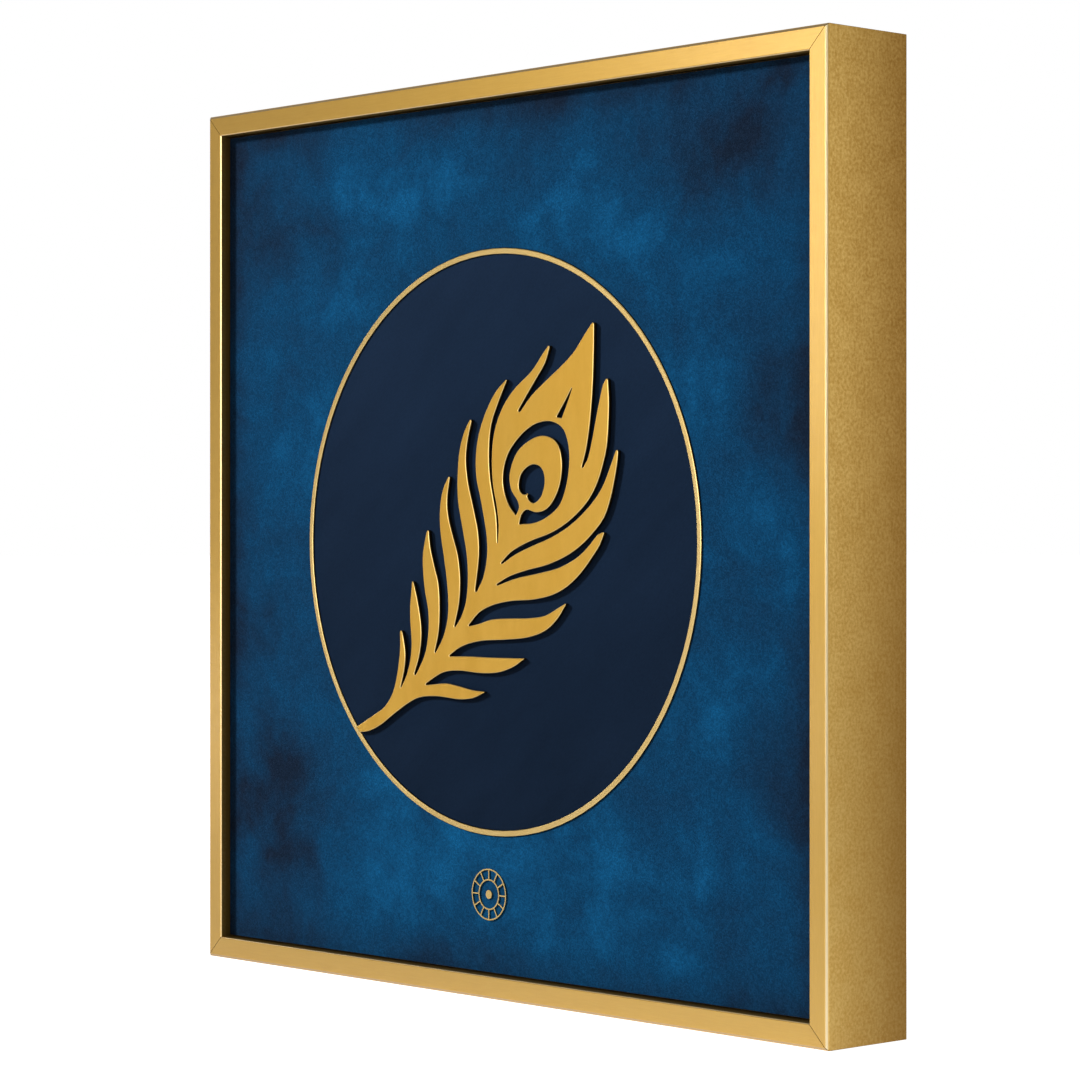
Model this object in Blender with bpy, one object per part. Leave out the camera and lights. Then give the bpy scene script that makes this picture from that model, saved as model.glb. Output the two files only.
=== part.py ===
"""Deep square picture frame with a cut gold feather on a navy medallion.

Metres, +Z up. The front faces -Y, and the origin is the middle of the underside.
Lengths below are in millimetres. A place on the front is (x, z) from the middle of the frame,
and a depth is counted backwards from the frame's front face.
"""

import math

import bmesh
import bpy
from mathutils import Vector

MM = 0.001
CLEARANCE = 0.3  # kept between pieces that touch
OVERCUT = 1.0  # by which a cutter passes the face it opens

# Frame moulding
SIDE = 500.0  # outer width and height
FACE = 12.3  # width of the front face
DEPTH = 58.5  # front face to back rim
RECESS = 6.0  # front face to panel
BODY = 22.0  # width of the moulding behind the panel
RIM = 14.0  # width of the back rim, outside the rebate
BOARD = 3.0  # thickness of the backing board

# Panel and medallion
PANEL = 5.0  # thickness
SHADOW_GAP = 1.2  # between panel and moulding
POCKET = 2.6  # depth of the round pocket in the panel
MEDALLION = (-0.6, -3.0)
RING_OUTER = 159.3  # radius
RING_WIDTH = 3.1
RING_PROUD = 0.9
CIRCLE_STEPS = 108

# Feather plate
FEATHER = 2.1  # thickness
FEATHER_SHIFT = -0.5  # of the outline below, along x
BARB_STEP = 3.5  # length of the straight pieces that the curves are made of
EYE_STEP = 2.0

# Ornament under the medallion
ORNAMENT = (-3.9, -194.3)
ORNAMENT_RADIUS = 14.0
ORNAMENT_INNER = 8.4  # radius of its inner ring
ORNAMENT_DOT = 2.4  # radius
ORNAMENT_SPOKES = 12
ORNAMENT_LINE = 0.7
ORNAMENT_SHEET = 0.4  # thickness

# Fittings on the back, all of them sunk below the back rim
BOARD_SUNK = 4.7  # back rim to backing board
SCREW_PLACES = 130.0  # of the board's screws, from the middle of each side
SCREW_HEAD = (2.6, 1.0)  # radius and height
SCREW_SHANK = (1.2, 9.0)  # radius and length
SCREW_POINT = 2.0  # length
HANGER = (5.0, 42.0, 1.2)  # half width, length and thickness of a keyhole plate
HANGER_SUNK = 1.8  # back rim to plate
HANGER_PLACE = (243.0, 165.0)
KEYHOLE = (3.3, 1.7, 10.0)  # radius of the hole, half width and length of the slot
KEYHOLE_BELOW = 4.0  # the hole's centre, from the plate's middle
CAVITY = (4.0, 21.0, 10.0)  # half width, length and depth of the hollow under the plate

FRONT_Y = -DEPTH / 2
HALF = SIDE / 2
PANEL_BACK = RECESS + PANEL
LEDGE = PANEL_BACK + CLEARANCE
REBATE = DEPTH - BOARD_SUNK - BOARD - CLEARANCE

# The feather's outline, clockwise from the tip of its large leaf. Each row is one edge between a tip
# and the foot of a slot, as points that a smooth curve passes through. Round ends join the rows.
FEATHER_EDGES = (
    ((81.4, 111.2), (81.2, 98), (80.4, 80), (78.2, 60), (75.0, 45), (72.0, 37.1)),
    ((73.6, 36.9), (76.4, 40.6), (79.7, 50), (82.4, 60), (85.2, 70), (88.4, 79.8), (90.1, 82)),
    (
        (92.0, 81.6), (92.7, 72), (92.4, 60), (91.0, 47), (88.7, 39.5), (84.7, 30), (77.8, 20), (65, 10),
        (50, 2.7), (30, -2.9), (16, -8.4), (8.5, -13.9),
    ),
    (
        (9.4, -14.6), (20, -9.4), (35, -4.4), (50, 0.3), (65, 7.2), (80, 17.8), (87.8, 26.1), (93.9, 36.9),
        (97.7, 44.5),
    ),
    (
        (99.6, 44.2), (99.2, 40), (96.9, 30), (93.8, 20), (88.9, 10), (80, 1.6), (71.1, -4.7), (60, -10.2),
        (45, -15), (30, -17.8), (15, -21.4), (4.9, -25.5),
    ),
    (
        (5.2, -26.4), (20, -22.5), (40, -19.2), (55, -16.2), (70, -10.1), (78.9, -3.6), (84.2, 1.1),
        (87.4, 2.2),
    ),
    (
        (88.8, 1.4), (85.6, -4.4), (80.3, -10.3), (71.1, -19.2), (61.1, -26.1), (50, -30.7), (35, -33.5),
        (15, -34.8), (0, -37.5), (-10, -41.4), (-18.1, -48.0),
    ),
    (
        (-17.4, -48.8), (-10, -47.5), (0, -45), (15, -44), (30, -43.6), (43.5, -42), (52, -38.6),
        (59.0, -35.4),
    ),
    (
        (59.6, -35.9), (53.5, -43.1), (44.5, -49.6), (31, -53.7), (11, -55.6), (-10, -56.9), (-25, -60.4),
        (-34.0, -65.0),
    ),
    ((-33.8, -65.8), (-20, -65.4), (0, -65.5), (15, -65.3), (26.4, -65.2)),
    (
        (26.4, -65.8), (18.5, -69.9), (6, -73.4), (-8, -74.2), (-27, -73.4), (-39, -74.6), (-47.2, -77.8),
        (-54.1, -81.3),
    ),
    ((-53.8, -82.2), (-45, -81.3), (-37, -80.7), (-26.7, -81.9), (-15.6, -83.6), (-5.7, -84.2)),
    (
        (-5.7, -84.8), (-15, -88.1), (-26, -89.1), (-45, -88.1), (-60, -89.3), (-70, -93), (-84, -100.5),
        (-92, -105.1), (-99, -108.2), (-105, -110), (-111.6, -110.7),
    ),
    ((-112.4, -110.7), (-114.7, -108.3)),
    (
        (-114.5, -107.6), (-108.9, -105.1), (-97.8, -99.7), (-90, -95.6), (-82.8, -87.5), (-78.9, -76.7),
        (-77.2, -68.3), (-76.4, -60), (-76.6, -53.5),
    ),
    ((-74.6, -53.3), (-72.8, -60), (-71.9, -66.1), (-73.2, -75), (-76.1, -83.6)),
    (
        (-75.4, -84.2), (-71.1, -77.8), (-67.5, -68.3), (-66.5, -59), (-67.7, -46.1), (-67.7, -38.3),
        (-66.9, -31.7), (-66.3, -25.8),
    ),
    (
        (-64.9, -25.4), (-62.5, -32.2), (-60, -41.1), (-58.4, -49.4), (-58.3, -57.2), (-60.4, -67),
        (-64.1, -75.6),
    ),
    (
        (-62.7, -76.6), (-58.3, -70.6), (-54.2, -63), (-51.9, -50), (-52.4, -40), (-54.7, -31.7),
        (-56.7, -18.9), (-56.7, -9), (-53.8, 2.2),
    ),
    (
        (-51.8, 2.8), (-50.8, -5), (-47.2, -16.1), (-43.8, -25.6), (-42.7, -39), (-43.6, -52.5),
        (-46.8, -63.2),
    ),
    (
        (-45.7, -63.8), (-39.7, -55.6), (-35.9, -45), (-35.5, -33), (-38.3, -14.4), (-41.3, -0.6),
        (-42.5, 10.2), (-41.0, 22.5), (-38.6, 28.1), (-35.4, 32.7),
    ),
    (
        (-34.2, 32.2), (-36.3, 20), (-35.4, 11.1), (-31.4, 0), (-27.5, -10), (-25.5, -22.5),
        (-26.3, -35.6), (-30.2, -48.7),
    ),
    (
        (-29.1, -49.3), (-24.7, -44.2), (-20.6, -35.6), (-19.0, -23), (-20, -9.4), (-24.4, 8.3),
        (-27.2, 20), (-27.5, 33), (-25.7, 47.8), (-21.7, 57.8), (-17.7, 63.4),
    ),
    (
        (-16.1, 62.8), (-19.2, 53), (-20.7, 42.5), (-19.0, 30), (-14.4, 15.6), (-10.6, 2.2), (-9.9, -10),
        (-13.0, -28.8),
    ),
    (
        (-11.3, -29.7), (-6.2, -22.1), (-3.2, -11), (-3.5, 0), (-8.3, 20), (-11.9, 32.2), (-12.3, 44.4),
        (-10, 55.6), (-4, 68), (4.4, 78.9), (12.0, 84.6),
    ),
    (
        (12.7, 84.1), (5, 71.1), (0.3, 61.1), (-1.6, 48), (-0.8, 32.2), (1.8, 21.1), (4.3, 10.6),
        (5.1, -3.0),
    ),
    (
        (5.8, -3.1), (6.3, 6), (5.0, 15.6), (1.9, 27.2), (0.8, 42), (2.8, 56.7), (9.7, 70), (19.4, 79.7),
        (32.8, 88.6), (41.9, 97.8), (45.6, 101.3),
    ),
    ((46.9, 100.7), (43.3, 92.5), (35.6, 83.6), (27.8, 74.7), (22.4, 68.4)),
    (
        (24.0, 67.3), (32.8, 75.6), (42.8, 82.2), (58.9, 92.3), (66.7, 98.3), (74.4, 106.7),
        (79.4, 111.8),
    ),
)
# The eye: the gap round its inner disc, which a neck leaves open at the lower left.
EYE_EDGES = (
    (
        (19.6, 11.9), (14.4, 17.2), (10.6, 25), (9.8, 33), (13.3, 43.9), (25, 55.1), (37.2, 60.6),
        (48.9, 61.1), (57.8, 56.7), (62.1, 46.1), (61.1, 31.1), (55, 17.2), (45, 10.6), (35, 7.5),
        (23.6, 6.7),
    ),
    (
        (22.9, 7.4), (24.4, 11.6), (28.2, 14.4), (36.5, 13.0), (45, 15), (53.1, 23.9), (56.6, 36),
        (54.9, 46.5), (50.6, 51.4), (41.1, 53.9), (30, 51.1), (20.6, 44.7), (15.1, 33), (16.7, 25),
        (21.8, 18.9), (22.8, 15.6), (20.6, 12.0),
    ),
)
PUPIL_EDGES = (
    ((29.6, 22.8), (25.4, 22.8), (22.6, 26), (24.3, 33.6), (33, 38.6), (40.6, 36.6), (43.2, 30.2),
     (39.9, 21), (33.9, 17.9), (30.2, 19.8), (29.3, 21.5)),
)
SLIT_EDGES = (
    ((64.0, 78.4), (59, 71.8), (53.0, 64.5)),
    ((53.4, 63.2), (56.2, 62.9)),
    ((57.1, 64.0), (61.1, 71.1), (64.5, 78.1)),
)


def clear_scene():
    for item in list(bpy.data.objects):
        bpy.data.objects.remove(item, do_unlink=True)


def make_material(name, colour, roughness, metallic):
    material = bpy.data.materials.new(name)
    material.use_nodes = True
    shader = material.node_tree.nodes["Principled BSDF"]
    shader.inputs["Base Color"].default_value = (*colour, 1.0)
    shader.inputs["Roughness"].default_value = roughness
    shader.inputs["Metallic"].default_value = metallic
    return material


def world(x, depth, z):
    """World coordinates in metres of a place on the frame."""
    return (x * MM, (FRONT_Y + depth) * MM, (z + HALF) * MM)


def add_mesh(name, points, faces, material):
    mesh = bpy.data.meshes.new(name)
    mesh.from_pydata(points, [], faces)
    solid = bmesh.new()
    solid.from_mesh(mesh)
    bmesh.ops.recalc_face_normals(solid, faces=solid.faces)
    solid.to_mesh(mesh)
    solid.free()
    mesh.materials.append(material)
    piece = bpy.data.objects.new(name, mesh)
    bpy.context.collection.objects.link(piece)
    return piece


def add_plate(name, loops, depth, thickness, material, place=(0.0, 0.0)):
    """A flat plate whose front is at depth. The first loop is its outline and the others are holes."""
    curve = bpy.data.curves.new(name, "CURVE")
    curve.dimensions = "2D"
    curve.fill_mode = "BOTH"
    curve.extrude = thickness / 2 * MM
    for loop in loops:
        spline = curve.splines.new("POLY")
        spline.points.add(len(loop) - 1)
        for point, (x, z) in zip(spline.points, loop):
            point.co = (x * MM, z * MM, 0.0, 1.0)
        spline.use_cyclic_u = True
    curve.materials.append(material)
    piece = bpy.data.objects.new(name, curve)
    piece.location = world(place[0], depth + thickness / 2, place[1])
    piece.rotation_euler = (math.pi / 2, 0.0, 0.0)
    bpy.context.collection.objects.link(piece)
    return piece


def add_turned(name, profile, place, material, steps=12):
    """A body turned about an axis along the depth. The profile runs from centre to centre."""
    points = [world(place[0], profile[0][1], place[1])]
    for radius, depth in profile[1:-1]:
        for k in range(steps):
            turn = 2 * math.pi * k / steps
            x, z = radius * math.cos(turn), radius * math.sin(turn)
            points.append(world(place[0] + x, depth, place[1] + z))
    points.append(world(place[0], profile[-1][1], place[1]))
    last = len(points) - 1
    rings = len(profile) - 2
    faces = []
    for k in range(steps):
        after = (k + 1) % steps
        faces.append((0, 1 + after, 1 + k))
        faces.append((last, 1 + (rings - 1) * steps + k, 1 + (rings - 1) * steps + after))
        for ring in range(rings - 1):
            low, high = 1 + ring * steps, 1 + (ring + 1) * steps
            faces.append((low + k, low + after, high + after, high + k))
    piece = add_mesh(name, points, faces, material)
    piece.data.shade_smooth()
    piece.data.set_sharp_from_angle(angle=math.radians(40))
    return piece


def add_block(name, outline, near, far, material):
    """A straight block between two depths, with the outline given as (x, z) points."""
    count = len(outline)
    points = [world(x, depth, z) for depth in (near, far) for x, z in outline]
    faces = [tuple(range(count)), tuple(range(2 * count - 1, count - 1, -1))]
    for k in range(count):
        after = (k + 1) % count
        faces.append((k, after, count + after, count + k))
    return add_mesh(name, points, faces, material)


def cut(piece, cutter, name):
    modifier = piece.modifiers.new(name, "BOOLEAN")
    modifier.operation = "DIFFERENCE"
    modifier.object = cutter
    modifier.solver = "EXACT"
    cutter.hide_render = True
    cutter.display_type = "WIRE"


def circle(radius, steps=CIRCLE_STEPS, centre=(0.0, 0.0)):
    turns = [2 * math.pi * k / steps for k in range(steps)]
    return [(centre[0] + radius * math.cos(t), centre[1] + radius * math.sin(t)) for t in turns]


def smooth_edge(points, step):
    """Points about a step apart on a centripetal Catmull-Rom curve through the given points."""
    knots = [Vector(p) for p in points]
    knots = [2 * knots[0] - knots[1]] + knots + [2 * knots[-1] - knots[-2]]
    curve = [knots[1]]
    for before, start, end, after in zip(knots, knots[1:], knots[2:], knots[3:]):
        t0 = 0.0
        t1 = t0 + (start - before).length ** 0.5
        t2 = t1 + (end - start).length ** 0.5
        t3 = t2 + (after - end).length ** 0.5
        pieces = max(1, round((end - start).length / step))
        for k in range(1, pieces + 1):
            t = t1 + (t2 - t1) * k / pieces
            a = before.lerp(start, (t - t0) / (t1 - t0))
            b = start.lerp(end, (t - t1) / (t2 - t1))
            c = end.lerp(after, (t - t2) / (t3 - t2))
            early = a.lerp(b, (t - t0) / (t2 - t0))
            late = b.lerp(c, (t - t1) / (t3 - t1))
            curve.append(early.lerp(late, (t - t1) / (t2 - t1)))
    return curve


def round_end(start, start_way, end, end_way):
    """The points between two edges' ends, on a curve that leaves along one and arrives along the other."""
    reach = (end - start).length * 2 / 3
    one, two = start + start_way * reach, end - end_way * reach
    steps = 4
    points = []
    for k in range(1, steps):
        t = k / steps
        a, b, c = start.lerp(one, t), one.lerp(two, t), two.lerp(end, t)
        points.append(a.lerp(b, t).lerp(b.lerp(c, t), t))
    return points


def closed_outline(edges, step):
    curves = [smooth_edge(edge, step) for edge in edges]
    outline = []
    for curve, following in zip(curves, curves[1:] + curves[:1]):
        outline += curve
        way_out = (curve[-1] - curve[-2]).normalized()
        way_in = (following[1] - following[0]).normalized()
        outline += round_end(curve[-1], way_out, following[0], way_in)
    return [(p.x + FEATHER_SHIFT, p.y) for p in outline]


def turned_place(u, along, quarter):
    """(x, z) of a place on a member: u in from its outer side, and along from its middle."""
    x, z = along, HALF - u
    for _ in range(quarter):
        x, z = z, -x
    return x, z


def add_member(name, quarter, material):
    """One mitred length of the moulding. Quarter 0 is the top rail, and each next one is clockwise."""
    section = (
        (0.0, 0.0), (FACE, 0.0), (FACE, LEDGE), (BODY, LEDGE),
        (BODY, REBATE), (RIM, REBATE), (RIM, DEPTH), (0.0, DEPTH),
    )
    pull = CLEARANCE / 2 * math.sqrt(2)
    points = []
    for side in (-1, 1):
        for u, depth in section:
            x, z = turned_place(u, side * (HALF - u - pull), quarter)
            points.append(world(x, depth, z))
    count = len(section)
    faces = [tuple(range(count)), tuple(reversed(range(count, 2 * count)))]
    for k in range(count):
        after = (k + 1) % count
        faces.append((after, k, count + k, count + after))
    return add_mesh(name, points, faces, material)


def drill(member, place, seat):
    """A pilot hole for a screw whose head rests at the depth called seat."""
    radius = SCREW_SHANK[0] + CLEARANCE
    bottom = seat - SCREW_SHANK[1] - CLEARANCE
    end = DEPTH + OVERCUT
    profile = [(0.0, bottom), (radius, bottom), (radius, end), (0.0, end)]
    number = len(member.modifiers) + 1
    gold = member.data.materials[0]
    drill_bit = add_turned(f"{member.name}_drill_{number}", profile, place, gold, 12)
    cut(member, drill_bit, f"hole {number}")


def add_screw(name, place, seat, material):
    head, height = SCREW_HEAD
    shank, length = SCREW_SHANK
    tip = seat - length
    profile = [
        (0.0, tip), (shank, tip + SCREW_POINT), (shank, seat), (head, seat), (head * 0.75, seat + height),
        (0.0, seat + height),
    ]
    add_turned(name, profile, place, material)


def add_frame(material):
    names = ("frame_rail_top", "frame_stile_right", "frame_rail_bottom", "frame_stile_left")
    return [add_member(name, quarter, material) for quarter, name in enumerate(names)]


def square(half):
    return [(-half, -half), (half, -half), (half, half), (-half, half)]


def add_panel(blue, navy, gold):
    panel = add_block("art_panel", square(HALF - FACE - SHADOW_GAP), RECESS, PANEL_BACK, blue)
    outline = circle(RING_OUTER + CLEARANCE, centre=MEDALLION)
    pocket = add_block("pocket_cutter", outline, RECESS - OVERCUT, RECESS + POCKET, blue)
    cut(panel, pocket, "pocket")
    seated = POCKET - CLEARANCE
    inner = RING_OUTER - RING_WIDTH
    add_plate("medallion_disc", [circle(inner - CLEARANCE)], RECESS, seated, navy, MEDALLION)
    rings = [circle(RING_OUTER), circle(inner)]
    add_plate("medallion_ring", rings, RECESS - RING_PROUD, seated + RING_PROUD, gold, MEDALLION)


def add_feather(material):
    loops = [closed_outline(FEATHER_EDGES, BARB_STEP)]
    loops += [closed_outline(edges, EYE_STEP) for edges in (EYE_EDGES, PUPIL_EDGES, SLIT_EDGES)]
    add_plate("feather", loops, RECESS - CLEARANCE - FEATHER, FEATHER, material)


def ornament_window(first, last):
    """The opening between two spokes of the ornament."""
    steps = 4
    window = []
    for radius, way in ((ORNAMENT_RADIUS - ORNAMENT_LINE, 1), (ORNAMENT_INNER, -1)):
        trim = math.asin(ORNAMENT_LINE / 2 / radius)
        turns = [first + trim + (last - first - 2 * trim) * k / steps for k in range(steps + 1)]
        window += [(radius * math.cos(t), radius * math.sin(t)) for t in turns[::way]]
    return window


def add_ornament(material):
    """Two thin rings joined by spokes, with a dot in the middle."""
    loops = [circle(ORNAMENT_RADIUS, 48), circle(ORNAMENT_INNER - ORNAMENT_LINE, 36)]
    pitch = 2 * math.pi / ORNAMENT_SPOKES
    loops += [ornament_window(k * pitch, (k + 1) * pitch) for k in range(ORNAMENT_SPOKES)]
    depth = RECESS - CLEARANCE - ORNAMENT_SHEET
    add_plate("ornament", loops, depth, ORNAMENT_SHEET, material, ORNAMENT)
    dot = circle(ORNAMENT_DOT, 24)
    add_plate("ornament_dot", [dot], depth, ORNAMENT_SHEET, material, ORNAMENT)


def add_backing(members, board, metal):
    """The board in the rebate, and the screws that hold it to the moulding."""
    places = []
    for quarter, member in enumerate(members):
        for along in (-SCREW_PLACES, SCREW_PLACES):
            places.append((member, turned_place((RIM + BODY) / 2, along, quarter)))
    holes = [circle(SCREW_SHANK[0] + CLEARANCE, 12, place) for _, place in places]
    loops = [square(HALF - RIM - CLEARANCE)] + holes
    add_plate("backing_board", loops, REBATE + CLEARANCE, BOARD, board)
    seat = DEPTH - BOARD_SUNK + CLEARANCE
    for number, (member, place) in enumerate(places, 1):
        drill(member, place, seat)
        add_screw(f"board_screw_{number}", place, seat, metal)


def stadium(radius, length, centre=(0.0, 0.0)):
    """An upright slot shape with round ends."""
    reach = length / 2 - radius
    steps = 8
    turns = [math.pi * k / steps for k in range(steps + 1)]
    top = [(centre[0] + radius * math.cos(t), centre[1] + reach + radius * math.sin(t)) for t in turns]
    bottom = [(centre[0] - radius * math.cos(t), centre[1] - reach - radius * math.sin(t)) for t in turns]
    return top + bottom


def keyhole():
    """A round hole that a screw head passes, and the narrow slot above it."""
    radius, half_slot, length = KEYHOLE
    start = math.acos(half_slot / radius)
    steps = 12
    sweep = math.pi + 2 * start
    turns = [start - sweep * k / steps for k in range(steps + 1)]
    outline = [(radius * math.cos(t), radius * math.sin(t) - KEYHOLE_BELOW) for t in turns]
    top = length - KEYHOLE_BELOW
    for k in range(7):
        turn = math.pi - math.pi * k / 6
        outline.append((half_slot * math.cos(turn), top + half_slot * math.sin(turn)))
    return outline


def add_hanger(name, member, x, metal):
    """A keyhole plate let into a stile's back rim, with a cavity behind it for a screw head."""
    half_width, length, thickness = HANGER
    z = HANGER_PLACE[1]
    near = DEPTH - HANGER_SUNK - thickness
    floor = near - CLEARANCE
    gold = member.data.materials[0]
    pocket = stadium(half_width + CLEARANCE, length + 2 * CLEARANCE, (x, z))
    cut(member, add_block(f"{name}_pocket", pocket, floor, DEPTH + OVERCUT, gold), "hanger pocket")
    cavity_half_width, cavity_length, cavity_depth = CAVITY
    slot = stadium(cavity_half_width, cavity_length, (x, z))
    cavity = add_block(f"{name}_cavity", slot, floor - cavity_depth, floor + OVERCUT, gold)
    cut(member, cavity, "hanger cavity")
    reach = length / 2 - half_width
    holes = [circle(SCREW_SHANK[0] + CLEARANCE, 12, (0.0, side * reach)) for side in (-1, 1)]
    add_plate(name, [stadium(half_width, length), keyhole()] + holes, near, thickness, metal, (x, z))
    seat = near + thickness + CLEARANCE
    for number, side in enumerate((-1, 1), 1):
        place = (x, z + side * reach)
        drill(member, place, seat)
        add_screw(f"{name}_screw_{number}", place, seat, metal)


def main():
    clear_scene()
    gold = make_material("gold moulding", (0.62, 0.42, 0.14), 0.35, 1.0)
    blue = make_material("blue panel", (0.01, 0.07, 0.19), 0.8, 0.0)
    navy = make_material("navy disc", (0.012, 0.02, 0.05), 0.7, 0.0)
    plate = make_material("gold plate", (0.72, 0.48, 0.16), 0.3, 1.0)
    board = make_material("backing board", (0.12, 0.07, 0.035), 0.8, 0.0)
    zinc = make_material("zinc fittings", (0.55, 0.56, 0.58), 0.4, 1.0)
    members = add_frame(gold)
    add_panel(blue, navy, plate)
    add_feather(plate)
    add_ornament(plate)
    add_backing(members, board, zinc)
    add_hanger("hanger_right", members[1], HANGER_PLACE[0], zinc)
    add_hanger("hanger_left", members[3], -HANGER_PLACE[0], zinc)


main()
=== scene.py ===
import math

import bpy
import numpy as np
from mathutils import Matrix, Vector


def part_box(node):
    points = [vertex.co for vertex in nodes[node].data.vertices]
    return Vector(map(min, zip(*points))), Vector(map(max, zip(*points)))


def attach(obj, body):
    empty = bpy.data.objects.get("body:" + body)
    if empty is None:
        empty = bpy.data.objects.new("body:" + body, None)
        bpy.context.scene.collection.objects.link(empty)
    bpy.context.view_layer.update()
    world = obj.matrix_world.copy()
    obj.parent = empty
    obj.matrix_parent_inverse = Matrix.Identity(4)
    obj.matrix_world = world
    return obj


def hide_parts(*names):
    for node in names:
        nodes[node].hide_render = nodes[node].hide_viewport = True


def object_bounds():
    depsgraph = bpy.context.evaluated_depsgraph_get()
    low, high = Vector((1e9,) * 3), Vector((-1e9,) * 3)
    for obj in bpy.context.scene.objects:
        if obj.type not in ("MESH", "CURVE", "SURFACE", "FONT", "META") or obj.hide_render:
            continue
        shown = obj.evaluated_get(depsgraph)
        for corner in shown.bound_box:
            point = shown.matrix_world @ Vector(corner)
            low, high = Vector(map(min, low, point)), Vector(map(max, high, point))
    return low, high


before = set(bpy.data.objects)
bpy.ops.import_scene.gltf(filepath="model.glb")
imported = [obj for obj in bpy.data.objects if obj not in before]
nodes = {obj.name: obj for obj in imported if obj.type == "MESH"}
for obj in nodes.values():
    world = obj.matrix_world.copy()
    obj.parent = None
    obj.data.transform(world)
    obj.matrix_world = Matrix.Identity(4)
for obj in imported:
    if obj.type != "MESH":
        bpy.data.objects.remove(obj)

cadLow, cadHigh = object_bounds()
mm = 0.001
frontY = cadLow.y
middleX = (cadLow.x + cadHigh.x) / 2
middleZ = (cadLow.z + cadHigh.z) / 2
height = cadHigh.z - cadLow.z
bpy.ops.object.select_all(action="DESELECT")

# The moulding's front face, and how far its long edges are rounded
mouldingShape = {
    "faceWidth": 12.3 * mm,
    "outerEdge": 1.6 * mm,
    "innerEdge": 0.8 * mm,
    "backEdge": 0.7 * mm,
    "openMitre": 1.0 * mm,  # depth to which a mitre stays open
    "mitreGap": 0.02 * mm,  # left between two members behind that
}
innerFace = height / 2 - mouldingShape["faceWidth"]  # from the middle to the edge beside the panel


def addNode(tree, kind, inputs=None, **settings):
    node = tree.nodes.new(kind)
    for name, value in settings.items():
        setattr(node, name, value)
    for name, value in (inputs or {}).items():
        if isinstance(value, bpy.types.NodeSocket):
            tree.links.new(value, node.inputs[name])
        else:
            node.inputs[name].default_value = value
    return node


def addMath(tree, operation, first, second=0.0, clamp=False):
    node = addNode(tree, "ShaderNodeMath", {0: first, 1: second}, operation=operation, use_clamp=clamp)
    return node.outputs[0]


def addVectorMath(tree, operation, inputs):
    outputs = addNode(tree, "ShaderNodeVectorMath", inputs, operation=operation).outputs
    return outputs["Value"] if operation in ("LENGTH", "DISTANCE") else outputs["Vector"]


def addMix(tree, factor, first, second, blend="MIX"):
    mix = addNode(tree, "ShaderNodeMix", data_type="RGBA", blend_type=blend)
    for socket, value in ((mix.inputs[0], factor), (mix.inputs[6], first), (mix.inputs[7], second)):
        if isinstance(value, bpy.types.NodeSocket):
            tree.links.new(value, socket)
        else:
            socket.default_value = (*value, 1.0) if isinstance(value, tuple) else value
    return mix.outputs[2]


def addRange(tree, value, fromLow, fromHigh, toLow, toHigh, smooth=False):
    inputs = {"Value": value, "From Min": fromLow, "From Max": fromHigh, "To Min": toLow, "To Max": toHigh}
    kind = "SMOOTHSTEP" if smooth else "LINEAR"
    return addNode(tree, "ShaderNodeMapRange", inputs, interpolation_type=kind).outputs[0]


def spread(tree, noise, low, high):
    # A noise lies mostly between 0.3 and 0.7
    return addRange(tree, noise, 0.3, 0.7, low, high)


def addNoise(tree, place, size, detail, roughness=0.5, distortion=0.0):
    inputs = {"Vector": place, "Scale": 1 / size, "Detail": detail}
    inputs |= {"Roughness": roughness, "Distortion": distortion}
    return addNode(tree, "ShaderNodeTexNoise", inputs).outputs


def addBump(tree, shader, strength, distance, bumpHeight):
    inputs = {"Strength": strength, "Distance": distance, "Height": bumpHeight}
    bump = addNode(tree, "ShaderNodeBump", inputs)
    tree.links.new(bump.outputs[0], shader.inputs["Normal"])


def addShade(tree, colour, shade):
    grey = addNode(tree, "ShaderNodeCombineColor", {0: shade, 1: shade, 2: shade}).outputs[0]
    return addMix(tree, 1.0, colour, grey, "MULTIPLY")


def squareReach(tree, place):
    # How far a point of the front is from the middle, the larger of sideways and upwards
    parts = addNode(tree, "ShaderNodeSeparateXYZ", {"Vector": place})
    acrossX = addMath(tree, "ABSOLUTE", addMath(tree, "SUBTRACT", parts.outputs["X"], middleX))
    acrossZ = addMath(tree, "ABSOLUTE", addMath(tree, "SUBTRACT", parts.outputs["Z"], middleZ))
    return addMath(tree, "MAXIMUM", acrossX, acrossZ)


def newMaterial(name):
    material = bpy.data.materials.new(name)
    material.use_nodes = True
    tree = material.node_tree
    place = tree.nodes.new("ShaderNodeTexCoord").outputs["Object"]
    return material, tree, tree.nodes["Principled BSDF"], place


def newGroup(name, inputs, outputs):
    group = bpy.data.node_groups.new(name, "ShaderNodeTree")
    for label, kind, value in inputs:
        socket = group.interface.new_socket(label, in_out="INPUT", socket_type="NodeSocket" + kind)
        if kind == "Float":
            socket.default_value = value
    for label, kind in outputs:
        group.interface.new_socket(label, in_out="OUTPUT", socket_type="NodeSocket" + kind)
    return group, group.nodes.new("NodeGroupInput").outputs, group.nodes.new("NodeGroupOutput").inputs


def makeGrainGroup():
    # Fine grain with some larger cloudiness, stretched along one direction by the Vector's scale
    inputs = [("Vector", "Vector", None), ("Grain Size", "Float", 1 * mm), ("Cloud Size", "Float", 20 * mm)]
    group, given, result = newGroup("fine grain", inputs, [("Grain", "Float"), ("Cloud", "Float")])
    for size, label, detail in (("Grain Size", "Grain", 3.0), ("Cloud Size", "Cloud", 4.0)):
        noise = addNoise(group, given["Vector"], 1.0, detail, 0.6)
        scale = addMath(group, "DIVIDE", 1.0, given[size])
        group.links.new(scale, noise["Fac"].node.inputs["Scale"])
        group.links.new(noise["Fac"], result[label])
    return group


grainGroup = makeGrainGroup()


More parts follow.
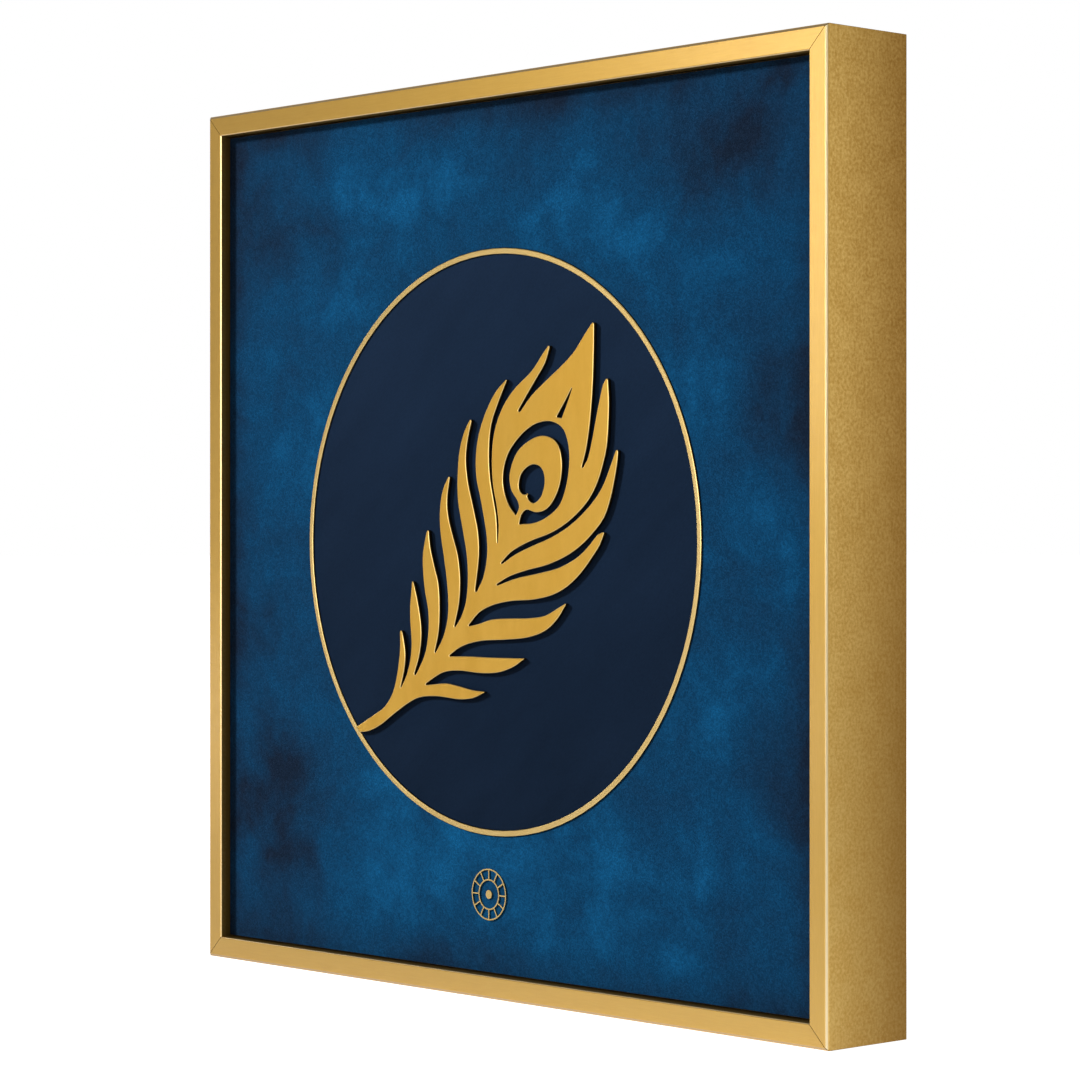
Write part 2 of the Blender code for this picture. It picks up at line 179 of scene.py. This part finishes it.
def addGrain(tree, vector, grainSize, cloudSize):
    node = tree.nodes.new("ShaderNodeGroup")
    node.node_tree = grainGroup
    tree.links.new(vector, node.inputs["Vector"])
    node.inputs["Grain Size"].default_value = grainSize
    node.inputs["Cloud Size"].default_value = cloudSize
    return node.outputs["Grain"], node.outputs["Cloud"]


def stretched(tree, place, along, factor):
    scale = [1.0, 1.0, 1.0]
    scale["XYZ".index(along)] = 1.0 / factor
    return addNode(tree, "ShaderNodeMapping", {"Vector": place, "Scale": scale}).outputs[0]


gildedLook = {
    "deep": (0.735, 0.405, 0.045),
    "light": (0.870, 0.540, 0.082),
    # Painted shade for the walls of the recess
    "paintedRecessShade": (0.20, 0.125, 0.030),
    # A pale painted highlight for the front edges, and for the rails' outer edge a darker painted shade
    "edge": (0.98, 0.82, 0.50),
    "railEdgePaintedShade": (0.50, 0.31, 0.075),
    "roughness": 0.30,
    "sideRoughness": 0.38,
    "recessShadeRoughness": 0.25,  # added to the roughness under the painted recess shade
    "streakLength": 22.0,
    "streakSize": 0.5 * mm,
    "mottleSize": 1.7 * mm,
    "cloudSize": 26 * mm,
    # How much each shows on the front face, and on the sides
    "streaks": (0.30, 0.12),
    "mottling": (0.06, 1.25),
    "clouding": (0.15, 0.40),
    # Painted light on the sides: the tint beside the front, paler, and beside the wall, darker as painted
    # shade
    "sidePaintedLight": (1.04, 1.15, 2.50),
    "sidePaintedShade": (0.52, 0.490, 0.85),
    "coat": 1.0,
    "coatRoughness": 0.20,
    "coatIor": 1.8,
    # Where the sides begin, and where the painted highlights and painted shade begin and end, as two depths
    # behind the front face
    "sideBegins": (1.0 * mm, 1.6 * mm),
    "outerEdgeLightEnds": (0.9 * mm, 1.3 * mm),
    "innerHighlightEnds": (0.35 * mm, 0.55 * mm),
    "recessShadeBegins": (0.4 * mm, 0.6 * mm),
    "recessShadeDeepens": (0.5 * mm, 4.5 * mm),
    # The same, as two distances outwards from the inner edge
    "innerHighlightWidth": (0.35 * mm, 0.5 * mm),
    "insideWall": (0.05 * mm, 0.12 * mm),
}


def makeGilded(name, along, outerEdgePaintedLight):
    # Brushed gold leaf with streaks along the member. Its outer sides are mottled, and browner and darker
    # towards the wall as painted shade. Painted highlights run along the front edges, the rails' outer edge
    # is painted darker as shade, and painted shade darkens the walls of the recess.
    look = gildedLook
    material, tree, shader, place = newMaterial(name)
    depth = addNode(tree, "ShaderNodeSeparateXYZ", {"Vector": place}).outputs["Y"]
    reach = squareReach(tree, place)

    def behindFront(span, first, last):
        return addRange(tree, depth, frontY + look[span][0], frontY + look[span][1], first, last)

    def besideRecess(span):
        return addRange(tree, reach, innerFace + look[span][0], innerFace + look[span][1], 1.0, 0.0)

    side = behindFront("sideBegins", 0.0, 1.0)
    lengthways = stretched(tree, place, along, look["streakLength"])
    streak, _ = addGrain(tree, lengthways, look["streakSize"], look["cloudSize"])
    mottle, blotch = addGrain(tree, place, look["mottleSize"], look["cloudSize"] * 0.5)
    tone = 0.5
    for noise, share in ((streak, "streaks"), (mottle, "mottling"), (blotch, "clouding")):
        amount = addRange(tree, side, 0.0, 1.0, *look[share])
        tone = addMath(tree, "ADD", tone, addMath(tree, "MULTIPLY", spread(tree, noise, -0.5, 0.5), amount))
    tone = addMath(tree, "ADD", tone, 0.0, clamp=True)
    gold = addMix(tree, tone, look["deep"], look["light"])

    # Painted shade on the outer sides: paler beside the front, darker and browner towards the wall
    towardsWall = addRange(tree, depth, frontY + 1.5 * mm, cadHigh.y, 0.0, 1.0)
    paintedSideShading = addMix(tree, towardsWall, look["sidePaintedLight"], look["sidePaintedShade"])
    paintedSideShading = addMix(tree, side, (1.0, 1.0, 1.0), paintedSideShading)
    gold = addMix(tree, 1.0, gold, paintedSideShading, "MULTIPLY")

    # Painted light along the long front edges: a pale highlight on the inner edge; on the outer edge the
    # colour passed in, a highlight on the stiles and painted shade on the rails
    edgeWidth = mouldingShape["outerEdge"]
    outerEdge = addRange(tree, reach, height / 2 - edgeWidth, height / 2 - 0.65 * edgeWidth, 0.0, 1.0)
    outerEdge = addMath(tree, "MULTIPLY", outerEdge, behindFront("outerEdgeLightEnds", 1.0, 0.0))
    innerEdge = behindFront("innerHighlightEnds", 1.0, 0.0)
    innerEdge = addMath(tree, "MULTIPLY", besideRecess("innerHighlightWidth"), innerEdge)
    gold = addMix(tree, innerEdge, addMix(tree, outerEdge, gold, outerEdgePaintedLight), look["edge"])

    # Painted shade: the walls of the recess are darkened, more deeply towards the panel
    recessShadeMask = addMath(tree, "MULTIPLY", besideRecess("insideWall"), behindFront("recessShadeDeepens", 0.55, 1.0))
    recessShadeMask = addMath(tree, "MULTIPLY", recessShadeMask, behindFront("recessShadeBegins", 0.0, 1.0))
    tree.links.new(addMix(tree, recessShadeMask, gold, look["paintedRecessShade"]), shader.inputs["Base Color"])

    rough = addRange(tree, side, 0.0, 1.0, look["roughness"], look["sideRoughness"])
    rough = addMath(tree, "ADD", rough, addRange(tree, tone, 0.0, 1.0, 0.06, -0.04))
    rough = addMath(tree, "ADD", rough, addMath(tree, "MULTIPLY", recessShadeMask, look["recessShadeRoughness"]))
    tree.links.new(rough, shader.inputs["Roughness"])
    dents = addMath(tree, "MULTIPLY", spread(tree, mottle, -0.5, 0.5), side)
    addBump(tree, shader, 0.16, 0.12 * mm, addMath(tree, "ADD", spread(tree, streak, -0.5, 0.5), dents))
    coat = addMath(tree, "MULTIPLY", addMath(tree, "SUBTRACT", 1.0, side), look["coat"])
    tree.links.new(coat, shader.inputs["Coat Weight"])
    shader.inputs["Metallic"].default_value = 1.0
    shader.inputs["Coat Roughness"].default_value = look["coatRoughness"]
    shader.inputs["Coat IOR"].default_value = look["coatIor"]
    return material


plateLook = {
    # Deep and light gold of each plate
    "feather": ((0.72, 0.405, 0.056), (0.90, 0.550, 0.108)),
    "ring": ((0.80, 0.560, 0.200), (0.92, 0.690, 0.310)),
    # A pale painted highlight for the rounded front edge, and painted shade for the cut walls
    "edge": (0.94, 0.70, 0.30),
    "paintedWallShade": (0.12, 0.066, 0.015),
    "roughness": 0.34,
    "grainSize": 0.5 * mm,
    "cloudSize": 18 * mm,
}


def makePlate(name, nodeName, edgeDepth, deep, light):
    # Satin sheet metal with a fine grain, with a pale painted highlight along its rounded front edge and
    # painted shade on its cut walls
    look = plateLook
    material, tree, shader, place = newMaterial(name)
    grain, cloud = addGrain(tree, stretched(tree, place, "Z", 3.0), look["grainSize"], look["cloudSize"])
    tone = spread(tree, cloud, 0.25, 0.75)
    tone = addMath(tree, "ADD", spread(tree, grain, -0.06, 0.06), tone, clamp=True)
    gold = addMix(tree, tone, deep, light)
    depth = addNode(tree, "ShaderNodeSeparateXYZ", {"Vector": place}).outputs["Y"]
    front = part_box(nodeName)[0].y
    # Painted highlight on the rounded front edge, painted shade on the cut walls behind it
    edge = addRange(tree, depth, front + 0.05 * edgeDepth, front + 0.25 * edgeDepth, 0.0, 1.0)
    paintedWallShade = addRange(tree, depth, front + 0.75 * edgeDepth, front + 1.1 * edgeDepth, 0.0, 1.0)
    gold = addMix(tree, paintedWallShade, addMix(tree, edge, gold, look["edge"]), look["paintedWallShade"])
    tree.links.new(gold, shader.inputs["Base Color"])
    rough = spread(tree, cloud, look["roughness"] + 0.04, look["roughness"] - 0.04)
    tree.links.new(rough, shader.inputs["Roughness"])
    addBump(tree, shader, 0.05, 0.06 * mm, grain)
    shader.inputs["Metallic"].default_value = 1.0
    return material


panelLook = {
    "dark": (0.0074, 0.0165, 0.037),
    "middle": (0.0044, 0.050, 0.130),
    "bright": (0.0058, 0.125, 0.32),
    "threadSize": 2.6 * mm,
    "speckSize": 0.9 * mm,
    "cloudSize": 46 * mm,
    "warpSize": 40 * mm,
    "warpPush": 52 * mm,
    # Width of the painted shade along the frame
    "frameShadeWidth": 22 * mm,
    "roughness": 0.9,
    "shine": 0.03,
    # Soft clouds of the dye, in mm: x and z from the middle, half width, half height; then how much lighter
    "clouds": (
        (165, 200, 75, 40, -0.40), (215, 65, 34, 48, -0.28), (125, 145, 44, 26, 0.12),
        (222, -115, 36, 60, -0.26), (-190, 168, 48, 24, -0.34), (-210, 215, 55, 38, -0.34),
        (-210, -62, 36, 50, -0.32), (-190, -150, 50, 42, -0.52), (-215, -225, 60, 30, -0.24),
        (40, 232, 80, 18, -0.16), (85, 172, 60, 28, 0.22), (-60, 195, 60, 26, 0.10),
        (-195, 120, 40, 40, -0.08), (-190, -20, 30, 30, 0.10), (0, -182, 120, 30, 0.18),
        (185, -60, 36, 46, 0.06), (130, -165, 60, 40, 0.08),
    ),
}


def makePanel(name):
    # Mottled blue suede-like board with fine pale threads, darkened towards the frame as painted shade
    look = panelLook
    material, tree, shader, place = newMaterial(name)
    warp = addNoise(tree, place, look["warpSize"], 5.0, 0.62)["Color"]
    offset = addVectorMath(tree, "SUBTRACT", {0: warp, 1: (0.5, 0.5, 0.5)})
    push = addVectorMath(tree, "SCALE", {0: offset, "Scale": look["warpPush"]})
    wandering = addVectorMath(tree, "ADD", {0: place, 1: push})
    cloud = addNoise(tree, place, look["cloudSize"], 7.0, 0.60, 0.3)["Fac"]
    tone = addRange(tree, cloud, 0.33, 0.67, 0.30, 0.66)
    for x, z, halfWidth, halfHeight, lighter in look["clouds"]:
        centre = (middleX + x * mm, 0.0, middleZ + z * mm)
        moved = addVectorMath(tree, "SUBTRACT", {0: wandering, 1: centre})
        scale = (1 / (halfWidth * mm), 0.0, 1 / (halfHeight * mm))
        distance = addVectorMath(tree, "LENGTH", {0: addVectorMath(tree, "MULTIPLY", {0: moved, 1: scale})})
        tone = addMath(tree, "ADD", tone, addRange(tree, distance, 0.0, 1.6, lighter, 0.0, smooth=True))
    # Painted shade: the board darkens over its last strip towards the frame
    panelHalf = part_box("art_panel")[1].x - middleX
    reach = squareReach(tree, place)
    paintedFrameShade = addRange(tree, reach, panelHalf - look["frameShadeWidth"], panelHalf, 0.0, 0.22, smooth=True)
    tone = addMath(tree, "SUBTRACT", tone, paintedFrameShade, clamp=True)
    lower = addMix(tree, addRange(tree, tone, 0.0, 0.5, 0.0, 1.0), look["dark"], look["middle"])
    colour = addMix(tree, addRange(tree, tone, 0.5, 1.0, 0.0, 1.0), lower, look["bright"])

    thread = addNoise(tree, place, look["threadSize"], 1.5, 0.5, 1.6)["Fac"]
    fromRidge = addMath(tree, "ABSOLUTE", addMath(tree, "SUBTRACT", thread, 0.5))
    ridge = addRange(tree, fromRidge, 0.0, 0.085, 1.0, 0.0)
    speck = addNoise(tree, place, look["speckSize"], 2.0, 0.6)["Fac"]
    shade = addMath(tree, "ADD", spread(tree, speck, 0.68, 1.00), addMath(tree, "MULTIPLY", ridge, 0.45))
    tree.links.new(addShade(tree, colour, shade), shader.inputs["Base Color"])
    addBump(tree, shader, 0.30, 0.25 * mm, shade)
    shader.inputs["Roughness"].default_value = look["roughness"]
    shader.inputs["Specular IOR Level"].default_value = look["shine"]
    return material


discLook = {
    # Painted light: the colour at the top, and at the bottom where it is painted darker
    "top": (0.0088, 0.0212, 0.0500),
    "bottom": (0.0048, 0.0120, 0.0285),
    "grainSize": 0.8 * mm,
    "grainTurn": 38,  # degrees
    "cloudSize": 30 * mm,
    "roughness": 0.8,
    "shine": 0.04,
}


def makeDisc(name):
    # Smooth navy board, made a little lighter towards the top as painted light
    look = discLook
    material, tree, shader, place = newMaterial(name)
    turn = (0.0, math.radians(look["grainTurn"]), 0.0)
    slant = addNode(tree, "ShaderNodeMapping", {"Vector": place, "Rotation": turn}).outputs[0]
    grain, cloud = addGrain(tree, stretched(tree, slant, "X", 3.0), look["grainSize"], look["cloudSize"])
    low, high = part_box("medallion_disc")
    upwards = addNode(tree, "ShaderNodeSeparateXYZ", {"Vector": place}).outputs["Z"]
    paintedLightRise = addRange(tree, upwards, low.z, high.z, 0.0, 0.8)
    tone = addMath(tree, "ADD", paintedLightRise, spread(tree, cloud, -0.1, 0.3), clamp=True)
    colour = addMix(tree, tone, look["bottom"], look["top"])
    tree.links.new(addShade(tree, colour, spread(tree, grain, 0.88, 1.12)), shader.inputs["Base Color"])
    addBump(tree, shader, 0.15, 0.1 * mm, grain)
    shader.inputs["Roughness"].default_value = look["roughness"]
    shader.inputs["Specular IOR Level"].default_value = look["shine"]
    return material


hardboardLook = {
    "deep": (0.10, 0.052, 0.024),
    "light": (0.19, 0.11, 0.055),
    "grainSize": 0.9 * mm,
    "cloudSize": 14 * mm,
    "roughness": (0.85, 0.65),
}


def makeHardboard(name):
    look = hardboardLook
    material, tree, shader, place = newMaterial(name)
    grain, cloud = addGrain(tree, place, look["grainSize"], look["cloudSize"])
    tone = addMath(tree, "ADD", spread(tree, grain, -0.25, 0.25), spread(tree, cloud, 0.2, 0.8), clamp=True)
    tree.links.new(addMix(tree, tone, look["deep"], look["light"]), shader.inputs["Base Color"])
    tree.links.new(spread(tree, grain, *look["roughness"]), shader.inputs["Roughness"])
    addBump(tree, shader, 0.3, 0.15 * mm, grain)
    return material


zincLook = {
    "deep": (0.50, 0.50, 0.49),
    "light": (0.68, 0.69, 0.70),
    "grainSize": 0.35 * mm,
    "cloudSize": 3 * mm,
    "roughness": (0.42, 0.28),
}


def makeZinc(name):
    look = zincLook
    material, tree, shader, place = newMaterial(name)
    grain, cloud = addGrain(tree, place, look["grainSize"], look["cloudSize"])
    tone = addMath(tree, "ADD", spread(tree, grain, -0.2, 0.2), spread(tree, cloud, 0.2, 0.8), clamp=True)
    tree.links.new(addMix(tree, tone, look["deep"], look["light"]), shader.inputs["Base Color"])
    tree.links.new(spread(tree, cloud, *look["roughness"]), shader.inputs["Roughness"])
    addBump(tree, shader, 0.1, 0.05 * mm, grain)
    shader.inputs["Metallic"].default_value = 1.0
    return material


# Each ring of a plate's rounded front edge: how far it goes in from the outline, and how far it falls back
plateEdge = ((0.16 * mm, 0.28 * mm), (0.34 * mm, 0.12 * mm))
edgeDepth = sum(fallBack for goIn, fallBack in plateEdge)

# The stiles' outer edge takes a pale painted highlight, the rails' outer edge a darker painted shade
gildedAcross = makeGilded("gilded rail", "X", gildedLook["railEdgePaintedShade"])
gildedUpright = makeGilded("gilded stile", "Z", gildedLook["edge"])
featherGold = makePlate("satin gold feather", "feather", edgeDepth, *plateLook["feather"])
ringGold = makePlate("satin gold ring", "medallion_ring", edgeDepth, *plateLook["ring"])
ornamentGold = makePlate("satin gold ornament", "ornament", 5 * edgeDepth, *plateLook["ring"])
blueSuede = makePanel("blue suede board")
navyBoard = makeDisc("navy board")
hardboard = makeHardboard("brown hardboard")
zincPlate = makeZinc("zinc plate")
print("materials made")


def setMaterial(piece, material):
    piece.data.materials.clear()
    piece.data.materials.append(material)


def pick(piece):
    bpy.ops.object.select_all(action="DESELECT")
    piece.select_set(True)
    bpy.context.view_layer.objects.active = piece


def copyOf(nodeName, pieceName, wholeFaces):
    # A clean copy of a CAD node: its loose triangles are joined up, and its flat faces are made whole
    # or cut into good triangles again
    mesh = nodes[nodeName].data.copy()
    mesh.name = pieceName
    piece = bpy.data.objects.new(pieceName, mesh)
    bpy.context.scene.collection.objects.link(piece)
    pick(piece)
    bpy.ops.object.mode_set(mode="EDIT")
    bpy.ops.mesh.select_all(action="SELECT")
    bpy.ops.mesh.remove_doubles(threshold=0.01 * mm)
    bpy.ops.mesh.dissolve_limited(angle_limit=math.radians(0.4))
    if not wholeFaces:
        bpy.ops.mesh.select_all(action="SELECT")
        bpy.ops.mesh.quads_convert_to_tris(ngon_method="BEAUTY")
    bpy.ops.mesh.select_all(action="DESELECT")
    bpy.ops.object.mode_set(mode="OBJECT")
    return piece


def bevelEdges(piece, width, segments, profile, chosen):
    # Bevels the edges marked True in the list
    pick(piece)
    bpy.ops.object.mode_set(mode="EDIT")
    bpy.ops.mesh.select_mode(type="EDGE")
    bpy.ops.mesh.select_all(action="DESELECT")
    bpy.ops.object.mode_set(mode="OBJECT")
    piece.data.edges.foreach_set("select", chosen)
    bpy.ops.object.mode_set(mode="EDIT")
    bpy.ops.mesh.bevel(offset=width, segments=segments, profile=profile, affect="EDGES")
    bpy.ops.mesh.select_all(action="DESELECT")
    bpy.ops.object.mode_set(mode="OBJECT")


def finishPiece(piece, nodeName, material, smoothAngle):
    pick(piece)
    bpy.ops.object.shade_smooth_by_angle(angle=math.radians(smoothAngle))
    for face in piece.data.polygons:
        if max(abs(value) for value in face.normal) > 0.99999:  # square to an axis, so it stays flat
            face.use_smooth = False
    setMaterial(piece, material)
    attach(piece, "root")
    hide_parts(nodeName)


def addMoulding(nodeName, pieceName, axis, material):
    # The member's long edges are rounded: the outer front one most, the one on the back rim least
    shape = mouldingShape
    low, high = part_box(nodeName)
    piece = copyOf(nodeName, pieceName, True)
    length = "XYZ".index(axis)
    lengthMiddle = (low[length] + high[length]) / 2
    across = "XYZ".index("Z" if axis == "X" else "X")
    middle = middleX if axis == "Z" else middleZ
    outerSide = max(abs(low[across] - middle), abs(high[across] - middle))

    # The mitres are drawn together behind their front edge, so no light comes through
    for point in piece.data.vertices:
        sideways = abs(point.co[across] - middle)
        lengthways = point.co[length] - lengthMiddle
        atEnd = abs(abs(lengthways) - sideways) < 1.0 * mm
        if atEnd and point.co.y > low.y + shape["openMitre"]:
            point.co[length] = lengthMiddle + math.copysign(sideways - shape["mitreGap"], lengthways)

    def along(depthY, fromMiddle):
        # Marks the edges that run the member's length at this depth and distance from the middle
        onLine = []
        for point in piece.data.vertices:
            misses = (point.co.y - depthY, abs(point.co[across] - middle) - fromMiddle)
            onLine.append(max(abs(miss) for miss in misses) < 0.05 * mm)
        return [all(onLine[end] for end in edge.vertices) for edge in piece.data.edges]

    bevelEdges(piece, shape["outerEdge"], 4, 0.28, along(low.y, outerSide))
    bevelEdges(piece, shape["innerEdge"], 2, 0.4, along(low.y, innerFace))
    bevelEdges(piece, shape["backEdge"], 3, 0.5, along(high.y, outerSide))
    finishPiece(piece, nodeName, material, 30)


addMoulding("frame_rail_top", "rail_top", "X", gildedAcross)
addMoulding("frame_rail_bottom", "rail_bottom", "X", gildedAcross)
addMoulding("frame_stile_left", "stile_left", "Z", gildedUpright)
addMoulding("frame_stile_right", "stile_right", "Z", gildedUpright)
print("moulding made")


def wallsAhead(points, directions, starts, ends):
    # How far each point can go along its direction before it meets another part of the outline
    spans = ends - starts
    reach = np.full(len(points), np.inf)
    for index, (point, direction) in enumerate(zip(points, directions)):
        cross = direction[0] * spans[:, 1] - direction[1] * spans[:, 0]
        cross[np.abs(cross) < 1e-12] = np.nan
        toStart = starts - point
        distance = (toStart[:, 0] * spans[:, 1] - toStart[:, 1] * spans[:, 0]) / cross
        share = (toStart[:, 0] * direction[1] - toStart[:, 1] * direction[0]) / cross
        hits = distance[(share >= 0) & (share <= 1) & (distance > 0.02 * mm)]
        if len(hits):
            reach[index] = hits.min()
    return reach


def insetFront(piece, front, goIn, fallBack):
    # Insets the front by goIn, less where the plate is thin, then pushes all that is outside it back
    bpy.ops.object.mode_set(mode="EDIT")
    bpy.ops.mesh.select_mode(type="FACE")
    bpy.ops.mesh.select_all(action="DESELECT")
    bpy.ops.object.mode_set(mode="OBJECT")
    mesh = piece.data
    atFront = [abs(point.co.y - front) < 0.01 * mm for point in mesh.vertices]
    chosen = [all(atFront[corner] for corner in face.vertices) for face in mesh.polygons]
    mesh.polygons.foreach_set("select", chosen)
    bpy.ops.object.mode_set(mode="EDIT")
    bpy.ops.mesh.inset(thickness=goIn, use_even_offset=True)
    bpy.ops.object.mode_set(mode="OBJECT")

    spots = np.array([point.co for point in mesh.vertices])
    inner = np.array([point.select for point in mesh.vertices])
    outline = ~inner & (np.abs(spots[:, 1] - front) < 0.01 * mm)
    pairs, rim = [], []  # outline point with its inset point, and the outline's own edges
    for edge in mesh.edges:
        first, second = edge.vertices
        if outline[first] and outline[second]:
            rim.append((first, second))
        elif outline[first] and inner[second]:
            pairs.append((first, second))
        elif outline[second] and inner[first]:
            pairs.append((second, first))
    pairs, rim = np.array(pairs), np.array(rim)
    flat = spots[:, [0, 2]]
    moves = flat[pairs[:, 1]] - flat[pairs[:, 0]]
    lengths = np.linalg.norm(moves, axis=1)
    moved = lengths > 1e-7
    pairs, moves, lengths = pairs[moved], moves[moved], lengths[moved]
    directions = moves / lengths[:, None]
    room = wallsAhead(flat[pairs[:, 0]], directions, flat[rim[:, 0]], flat[rim[:, 1]])
    kept = np.minimum(np.minimum(lengths, 3 * goIn), 0.30 * room)
    for (outer, inset), direction, length in zip(pairs, directions, kept):
        place = flat[outer] + direction * length
        mesh.vertices[inset].co.x, mesh.vertices[inset].co.z = place
    for index in np.flatnonzero(~inner & (spots[:, 1] < front + 1.0 * mm)):
        mesh.vertices[index].co.y += fallBack


def addPlatePiece(nodeName, pieceName, material):
    # A cut plate whose front outline, holes included, is softened
    piece = copyOf(nodeName, pieceName, False)
    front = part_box(nodeName)[0].y
    for goIn, fallBack in plateEdge:
        insetFront(piece, front, goIn, fallBack)
    finishPiece(piece, nodeName, material, 50)


addPlatePiece("feather", "feather_plate", featherGold)
addPlatePiece("medallion_ring", "ring", ringGold)
print("gold plates made")

# The other solids keep their shape and take a finish
finishes = {
    "ornament": ornamentGold,
    "ornament_dot": ornamentGold,
    "art_panel": blueSuede,
    "medallion_disc": navyBoard,
    "backing_board": hardboard,
}
for nodeName, node in nodes.items():
    if nodeName in finishes:
        setMaterial(node, finishes[nodeName])
    elif "hanger" in nodeName or "screw" in nodeName:
        setMaterial(node, zincPlate)
print("panel, disc and back finished")


studio = {
    "floorSize": 60.0,
    "floorColour": (0.50, 0.49, 0.48),
    "floorReflectionGlow": 0.50,  # painted reflection: the floor's glow, seen only in the gold, beside the frame
    "glowPlace": (0.45, 0.0, 0.0),
    "glowRadius": 1.2,
    "worldLight": 0.175,
    "worldGloss": 0.37,
    "lightTint": (1.0, 0.99, 0.97),
    "glossTint": (1.0, 0.93, 0.76),
    "softboxTint": (1.0, 0.98, 0.94),
    # Place from the middle of the front face, size, radiance, and what the softbox does
    "softboxes": {
        "key": ((-3.9, -2.8, 2.6), (0.65, 0.65), 338.0, "light"),
        "left front panel": ((-1.03, -1.75, 0.70), (0.84, 1.29), 1.66, "gloss"),
        "left strip": ((-1.95, -0.02, 0.35), (0.5, 1.2), 3.0, "gloss"),
        "camera side panel": ((0.9, -2.3, 0.4), (2.0, 1.2), 3.0, "gloss"),
        "right back panel": ((1.9, 1.9, 0.05), (1.4, 1.4), 0.56, "gloss"),
        "back fill": ((0.6, 3.2, 1.2), (1.6, 1.6), 2.6, "light"),
    },
    # A level view from the front right, its place in frame heights from the middle of the front face
    "cameraPlace": (2.7046, -2.3916, 0.0026),
    "cameraTurn": 47.59,
    "lens": 111.2,
    "shift": -0.0053,
}
frontMiddle = Vector((middleX, frontY, middleZ))


def addFloor():
    # White as the camera sees it, and a softer pale grey in the reflections, with a painted glow beside the
    # frame that only reflections see
    bpy.ops.mesh.primitive_plane_add(size=studio["floorSize"], location=(0.0, 0.0, cadLow.z))
    floor = bpy.context.object
    floor.name = "studio_floor"
    material, tree, shader, place = newMaterial("pale floor")
    shader.inputs["Base Color"].default_value = (*studio["floorColour"], 1.0)
    shader.inputs["Roughness"].default_value = 0.9
    shader.inputs["Specular IOR Level"].default_value = 0.0
    shader.inputs["Emission Color"].default_value = (1.0, 1.0, 1.0, 1.0)
    path = addNode(tree, "ShaderNodeLightPath").outputs
    # Painted light: a glow that only glossy rays see, brightest beside the frame
    fromGlow = addVectorMath(tree, "DISTANCE", {0: place, 1: studio["glowPlace"]})
    glow = addRange(tree, fromGlow, 0.0, studio["glowRadius"], studio["floorReflectionGlow"], 0.0, smooth=True)
    glow = addMath(tree, "MULTIPLY", path["Is Glossy Ray"], glow)
    tree.links.new(addMath(tree, "ADD", path["Is Camera Ray"], glow), shader.inputs["Emission Strength"])
    setMaterial(floor, material)


def addWorld():
    world = bpy.data.worlds.new("pale studio")
    bpy.context.scene.world = world
    world.use_nodes = True
    tree = world.node_tree
    tree.nodes.clear()
    path = addNode(tree, "ShaderNodeLightPath").outputs
    strength = addRange(tree, path["Is Diffuse Ray"], 0.0, 1.0, studio["worldGloss"], studio["worldLight"])
    tint = addMix(tree, path["Is Diffuse Ray"], studio["glossTint"], studio["lightTint"])
    lit = addNode(tree, "ShaderNodeBackground", {"Color": tint, "Strength": strength}).outputs[0]
    seen = addNode(tree, "ShaderNodeBackground", {"Color": (1, 1, 1, 1), "Strength": 1.0}).outputs[0]
    mix = addNode(tree, "ShaderNodeMixShader", {0: path["Is Camera Ray"], 1: lit, 2: seen}).outputs[0]
    addNode(tree, "ShaderNodeOutputWorld", {"Surface": mix})


def addSoftbox(name, place, size, radiance, use):
    data = bpy.data.lights.new(name, "AREA")
    data.shape = "RECTANGLE"
    data.size, data.size_y = size
    data.energy = radiance * math.pi * size[0] * size[1]
    data.color = studio["softboxTint"]
    light = bpy.data.objects.new(name, data)
    light.location = frontMiddle + Vector(place)
    light.rotation_euler = (-Vector(place)).to_track_quat("-Z", "Y").to_euler()
    bpy.context.scene.collection.objects.link(light)
    light.visible_camera = False
    light.visible_diffuse = use == "light"
    light.visible_glossy = use == "gloss"


def addCamera():
    data = bpy.data.cameras.new("camera")
    data.lens = studio["lens"]
    data.shift_y = studio["shift"]
    data.clip_start, data.clip_end = 0.01, 200.0
    camera = bpy.data.objects.new("camera", data)
    camera.location = frontMiddle + height * Vector(studio["cameraPlace"])
    camera.rotation_euler = (math.radians(90), 0.0, math.radians(studio["cameraTurn"]))
    bpy.context.scene.collection.objects.link(camera)
    bpy.context.scene.camera = camera


addFloor()
addWorld()
for name, settings in studio["softboxes"].items():
    addSoftbox(name, *settings)
addCamera()
bpy.context.scene.view_settings.view_transform = "Standard"
print("studio made")
